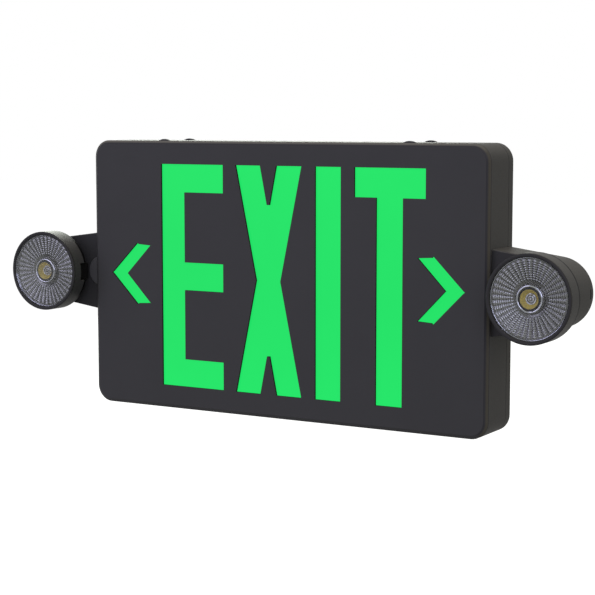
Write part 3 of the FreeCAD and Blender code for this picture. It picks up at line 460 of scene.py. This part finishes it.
def silvered(name, painted_shade, painted_highlight, smoothest, roughest):
    """Vacuum-silvered plastic: the valleys are painted darker as painted shade and the crests lighter as
    painted highlight, and a fine mist drifts its roughness.
    """
    finish, tree, out = material(name)
    place = add(tree, "ShaderNodeTexCoord").outputs["Object"]
    mist = add(tree, "ShaderNodeTexNoise", {"Scale": 1.0 / MIST_PATCH, "Detail": 3.0}, {"Vector": place})
    rough = add(tree, "ShaderNodeMapRange", {"To Min": smoothest, "To Max": roughest},
                {"Value": mist.outputs["Fac"]})
    height = add(tree, "ShaderNodeAttribute", attribute_name="painted_highlight").outputs["Fac"]
    tone = add(tree, "ShaderNodeMix", {MIX_FIRST: linear(painted_shade), MIX_SECOND: linear(painted_highlight)}, {0: height},
               data_type="RGBA")
    coat = add(tree, "ShaderNodeBsdfPrincipled", {"Metallic": 1.0},
               {"Base Color": tone.outputs[MIX_RESULT], "Roughness": rough.outputs[0]})
    tree.links.new(coat.outputs[0], out.inputs["Surface"])
    return finish


# Profiles of radius and depth behind the head's front, in mm.
COLLAR = ((7.0, 4.0), (7.05, 2.5), (7.3, 2.15), (7.7, 2.0), (8.1, 2.0), (8.5, 2.1), (8.85, 2.4), (9.1, 2.9),
          (9.25, 3.5), (9.3, 4.0))
RIM_RING = ((24.45, 2.9), (24.5, 2.2), (24.8, 2.0), (25.3, 2.0), (25.45, 2.2), (25.48, 2.9))
# The dish's two colours are painted shade in the valleys and painted highlight on the crests.
silver = silvered("vacuum_silvered_plastic_painted_light", "747269", "d2cfc3", 0.18, 0.26)
bright_silver = silvered("polished_silver_rings", "dcdad4", "dcdad4", 0.06, 0.12)
for side, sign in SIDES:
    points, faces, painted_highlight = fluted_dish(sign * HEAD_X)
    dish = surface("reflector_dish_" + side, points, faces, silver, painted_highlight)
    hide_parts("lamp_reflector_" + side)
    collar = turned("optic_collar_" + side, sign * HEAD_X, COLLAR, bright_silver)
    edging = turned("dish_rim_" + side, sign * HEAD_X, RIM_RING, bright_silver)
    for piece in (dish, collar, edging):
        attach(piece, "lamp_" + side)


# ---- Lamp bezels ----
# A snap-in ring in the head's black, a little darker, so that it frames the silver.  Its inner wall slopes
# back to the lens and its front edge is rounded.
BEZEL = ((25.15, 1.05), (25.35, 0.7), (25.8, 0.25), (26.1, 0.05), (26.5, 0.0), (26.9, 0.0), (27.3, 0.1),
         (27.55, 0.3), (27.7, 0.65), (27.7, 1.4), (26.4, 1.4), (26.4, 4.6), (25.6, 4.6), (25.6, 1.05))
bezel_abs = moulded("black_abs_bezel", "2e2e2e", "343434", 0.4, depth=0.00003, gloss_level=ABS_SHEEN)
for side, sign in SIDES:
    bezel = turned("bezel_ring_" + side, sign * HEAD_X, BEZEL, bezel_abs)
    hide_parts("lamp_bezel_" + side)
    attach(bezel, "lamp_" + side)


# ---- Lamp lenses ----
# A flat clear polycarbonate disc closes each head.  It is all but unseen, apart from a thin gloss that
# grows as the disc turns away from the eye.
clear_pc, tree, out = material("clear_polycarbonate")
turning = add(tree, "ShaderNodeFresnel", {"IOR": 1.45})
through = add(tree, "ShaderNodeBsdfTransparent", {"Color": linear("f6f8fb")})
gloss = add(tree, "ShaderNodeBsdfGlossy", {"Color": linear("ffffff"), "Roughness": 0.04})
mix = add(tree, "ShaderNodeMixShader",
          links={0: turning.outputs[0], 1: through.outputs[0], 2: gloss.outputs[0]})
tree.links.new(mix.outputs[0], out.inputs["Surface"])
dress(clear_pc, *pairs("lamp_glass"))


# ---- LEDs ----
# Yellow phosphor over blue chips.  On the legend's strips it is a small matt gel.  In each head a chip sits
# at the foot of a cup coated with the same phosphor, under a clear silicone dome with a moulded ring.
PHOSPHOR_GRAIN = 0.0012     # real grains are far finer, drawn coarser so that they show
phosphor, tree, out = material("yellow_led_phosphor")
place = add(tree, "ShaderNodeTexCoord").outputs["Object"]
grain = add(tree, "ShaderNodeTexNoise", {"Scale": 1.0 / PHOSPHOR_GRAIN, "Detail": 2.0}, {"Vector": place})
tone = add(tree, "ShaderNodeMix", {MIX_FIRST: linear("ccb44c"), MIX_SECOND: linear("e4cc64")},
           {0: grain.outputs["Fac"]}, data_type="RGBA")
gel = add(tree, "ShaderNodeBsdfPrincipled", {"Roughness": 0.3, "IOR": 1.45},
          {"Base Color": tone.outputs[MIX_RESULT]})
tree.links.new(gel.outputs[0], out.inputs["Surface"])
dress(phosphor, "sign_leds")

# The seat round each cup is a plain dark ring, which sets the yellow off from the silver.
seat_black = moulded("black_lamp_seat", "2a2a28", "30302e", 0.5, ior=1.5, grain=0.0004, depth=0.00002,
                     gloss_level=0.3)

# The dome's crests are painted with broken white curls, a painted highlight, and the yellow shows through its
# hollows.  Its IOR is above silicone's own 1.41, which gives so small a dome the gloss of a faceted one.
CURL_SIZE = 0.0011          # the painted curls break about every millimetre
silicone, tree, out = material("clear_silicone_dome_painted_highlight")
height = add(tree, "ShaderNodeAttribute", attribute_name="painted_highlight").outputs["Fac"]
highlight_cover = add(tree, "ShaderNodeMapRange", {"To Min": 0.45}, {"Value": height})
place = add(tree, "ShaderNodeTexCoord").outputs["Object"]
curl_breaks = add(tree, "ShaderNodeTexNoise", {"Scale": 1.0 / CURL_SIZE, "Detail": 1.0}, {"Vector": place})
uneven = add(tree, "ShaderNodeMapRange", {"From Min": 0.38, "From Max": 0.62, "To Min": 0.15, "To Max": 1.2},
             {"Value": curl_breaks.outputs["Fac"]})
curls = add(tree, "ShaderNodeMath", links={0: height, 1: uneven.outputs[0]}, operation="MULTIPLY",
            use_clamp=True)
tone = add(tree, "ShaderNodeMix", {MIX_FIRST: linear("85826f"), MIX_SECOND: linear("fbfaf4")},
           {0: curls.outputs[0]}, data_type="RGBA")
body = add(tree, "ShaderNodeBsdfPrincipled", {"Roughness": 0.10, "IOR": 1.9},
           {"Base Color": tone.outputs[MIX_RESULT]})
clear = add(tree, "ShaderNodeBsdfTransparent", {"Color": linear("ffffff")})
mix = add(tree, "ShaderNodeMixShader", links={0: highlight_cover.outputs[0], 1: clear.outputs[0], 2: body.outputs[0]})
tree.links.new(mix.outputs[0], out.inputs["Surface"])

# Profiles of radius and depth behind the head's front, in mm, and how much painted highlight each point of
# the dome carries, from 0 to 1.
CUP = ((0.0, 5.5), (3.9, 5.5), (4.3, 5.3), (5.8, 2.3), (5.95, 2.2), (6.1, 2.5), (6.2, 3.0), (6.8, 3.0),
       (6.9, 3.2), (6.9, 5.8), (0.0, 5.8))
CUP_MOUTH_R = 0.0060        # the phosphor ends here and the black seat begins
DOME = ((0.0, 4.35), (0.35, 4.37), (0.6, 4.45), (1.2, 4.55), (1.5, 4.65), (1.8, 4.8), (2.2, 5.0), (2.4, 5.1),
        (2.6, 4.75), (2.9, 4.5), (3.3, 4.55), (3.55, 4.85), (3.6, 5.45), (0.0, 5.45))
DOME_HIGHLIGHT = (0.9, 0.9, 0.2, 0.1, 0.9, 0.9, 0.1, 0.0, 0.4, 1.0, 1.0, 0.5, 0.1, 0.1)
for side, sign in SIDES:
    cup = turned("led_cup_" + side, sign * HEAD_X, CUP, phosphor, hollow=False)
    cup.data.materials.append(seat_black)
    spot, _ = faces_of(cup.data)
    reach = np.hypot(spot[:, 0] - sign * HEAD_X, spot[:, 2])
    finish_faces(cup.data, np.where(reach > CUP_MOUTH_R, 1, 0))
    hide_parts("lamp_led_" + side)
    dome = turned("led_dome_" + side, sign * HEAD_X, DOME, silicone, hollow=False, painted_highlight=DOME_HIGHLIGHT)
    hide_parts("lamp_optic_" + side)
    for piece in (cup, dome):
        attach(piece, "lamp_" + side)


# ---- Inside parts ----
# Circuit boards, battery, transformer, tray and fixings, closed in by the box and the heads.  Each finish
# has a fresh and a worn colour, a roughness, an IOR, and the width and depth of its grain.
INSIDE = (
    # A matt white that spreads the strips' light evenly behind the legend.
    ("white_abs_matt", "d9d9d6", "cfcfca", 0.5, 1.53, 0.0006, 0.00003, ["light_tray"]),
    # Smooth green solder mask with a soft gloss over the glass weave.
    ("solder_masked_laminate", "1f6b38", "185a2e", 0.3, 1.5, 0.0004, 0.00001,
     ["led_strip_top", "led_strip_bottom", "control_board", *pairs("lamp_board")]),
    # Dull black casings of the small parts.
    ("black_epoxy", "1e1e1f", "29292a", 0.45, 1.5, 0.0004, 0.00002, ["board_parts", "test_switch"]),
    # Dark brown baked varnish over the laminated core.
    ("varnished_iron", "3a3633", "4a443f", 0.4, 1.5, 0.0008, 0.00004, ["transformer"]),
    # A glossy red that is easy to find from below.
    ("red_abs_gloss", "b0201c", "a81d1a", 0.2, 1.53, 0.0008, 0.00001, ["test_button"]),
    # A paler, glassier red.
    ("red_indicator_lens", "c23a30", "b8352c", 0.15, 1.49, 0.0008, 0.00001, ["charge_indicator"]),
    # Taut blue film with a smooth gloss.
    ("blue_shrink_sleeve", "2d5fa0", "28568f", 0.28, 1.5, 0.0010, 0.00003, ["battery_pack"]),
)
for *finish, names in INSIDE:
    dress(moulded(*finish), *names)

# Zinc plate is a dull grey metal whose bloom drifts from bright to cloudy every couple of millimetres.
BLOOM_PATCH = 0.002
plating, tree, out = material("zinc_plated_steel")
place = add(tree, "ShaderNodeTexCoord").outputs["Object"]
bloom = add(tree, "ShaderNodeTexNoise", {"Scale": 1.0 / BLOOM_PATCH, "Detail": 3.0}, {"Vector": place})
rough = add(tree, "ShaderNodeMapRange", {"To Min": 0.25, "To Max": 0.42}, {"Value": bloom.outputs["Fac"]})
zinc = add(tree, "ShaderNodeBsdfPrincipled", {"Base Color": linear("b8b9b4"), "Metallic": 1.0},
           {"Roughness": rough.outputs[0]})
tree.links.new(zinc.outputs[0], out.inputs["Surface"])
dress(plating, "cover_screws", "board_screws", "clip_screws", "arm_screws", "battery_clip",
      *pairs("friction_washer", "hub_nut", "hinge_pin"))
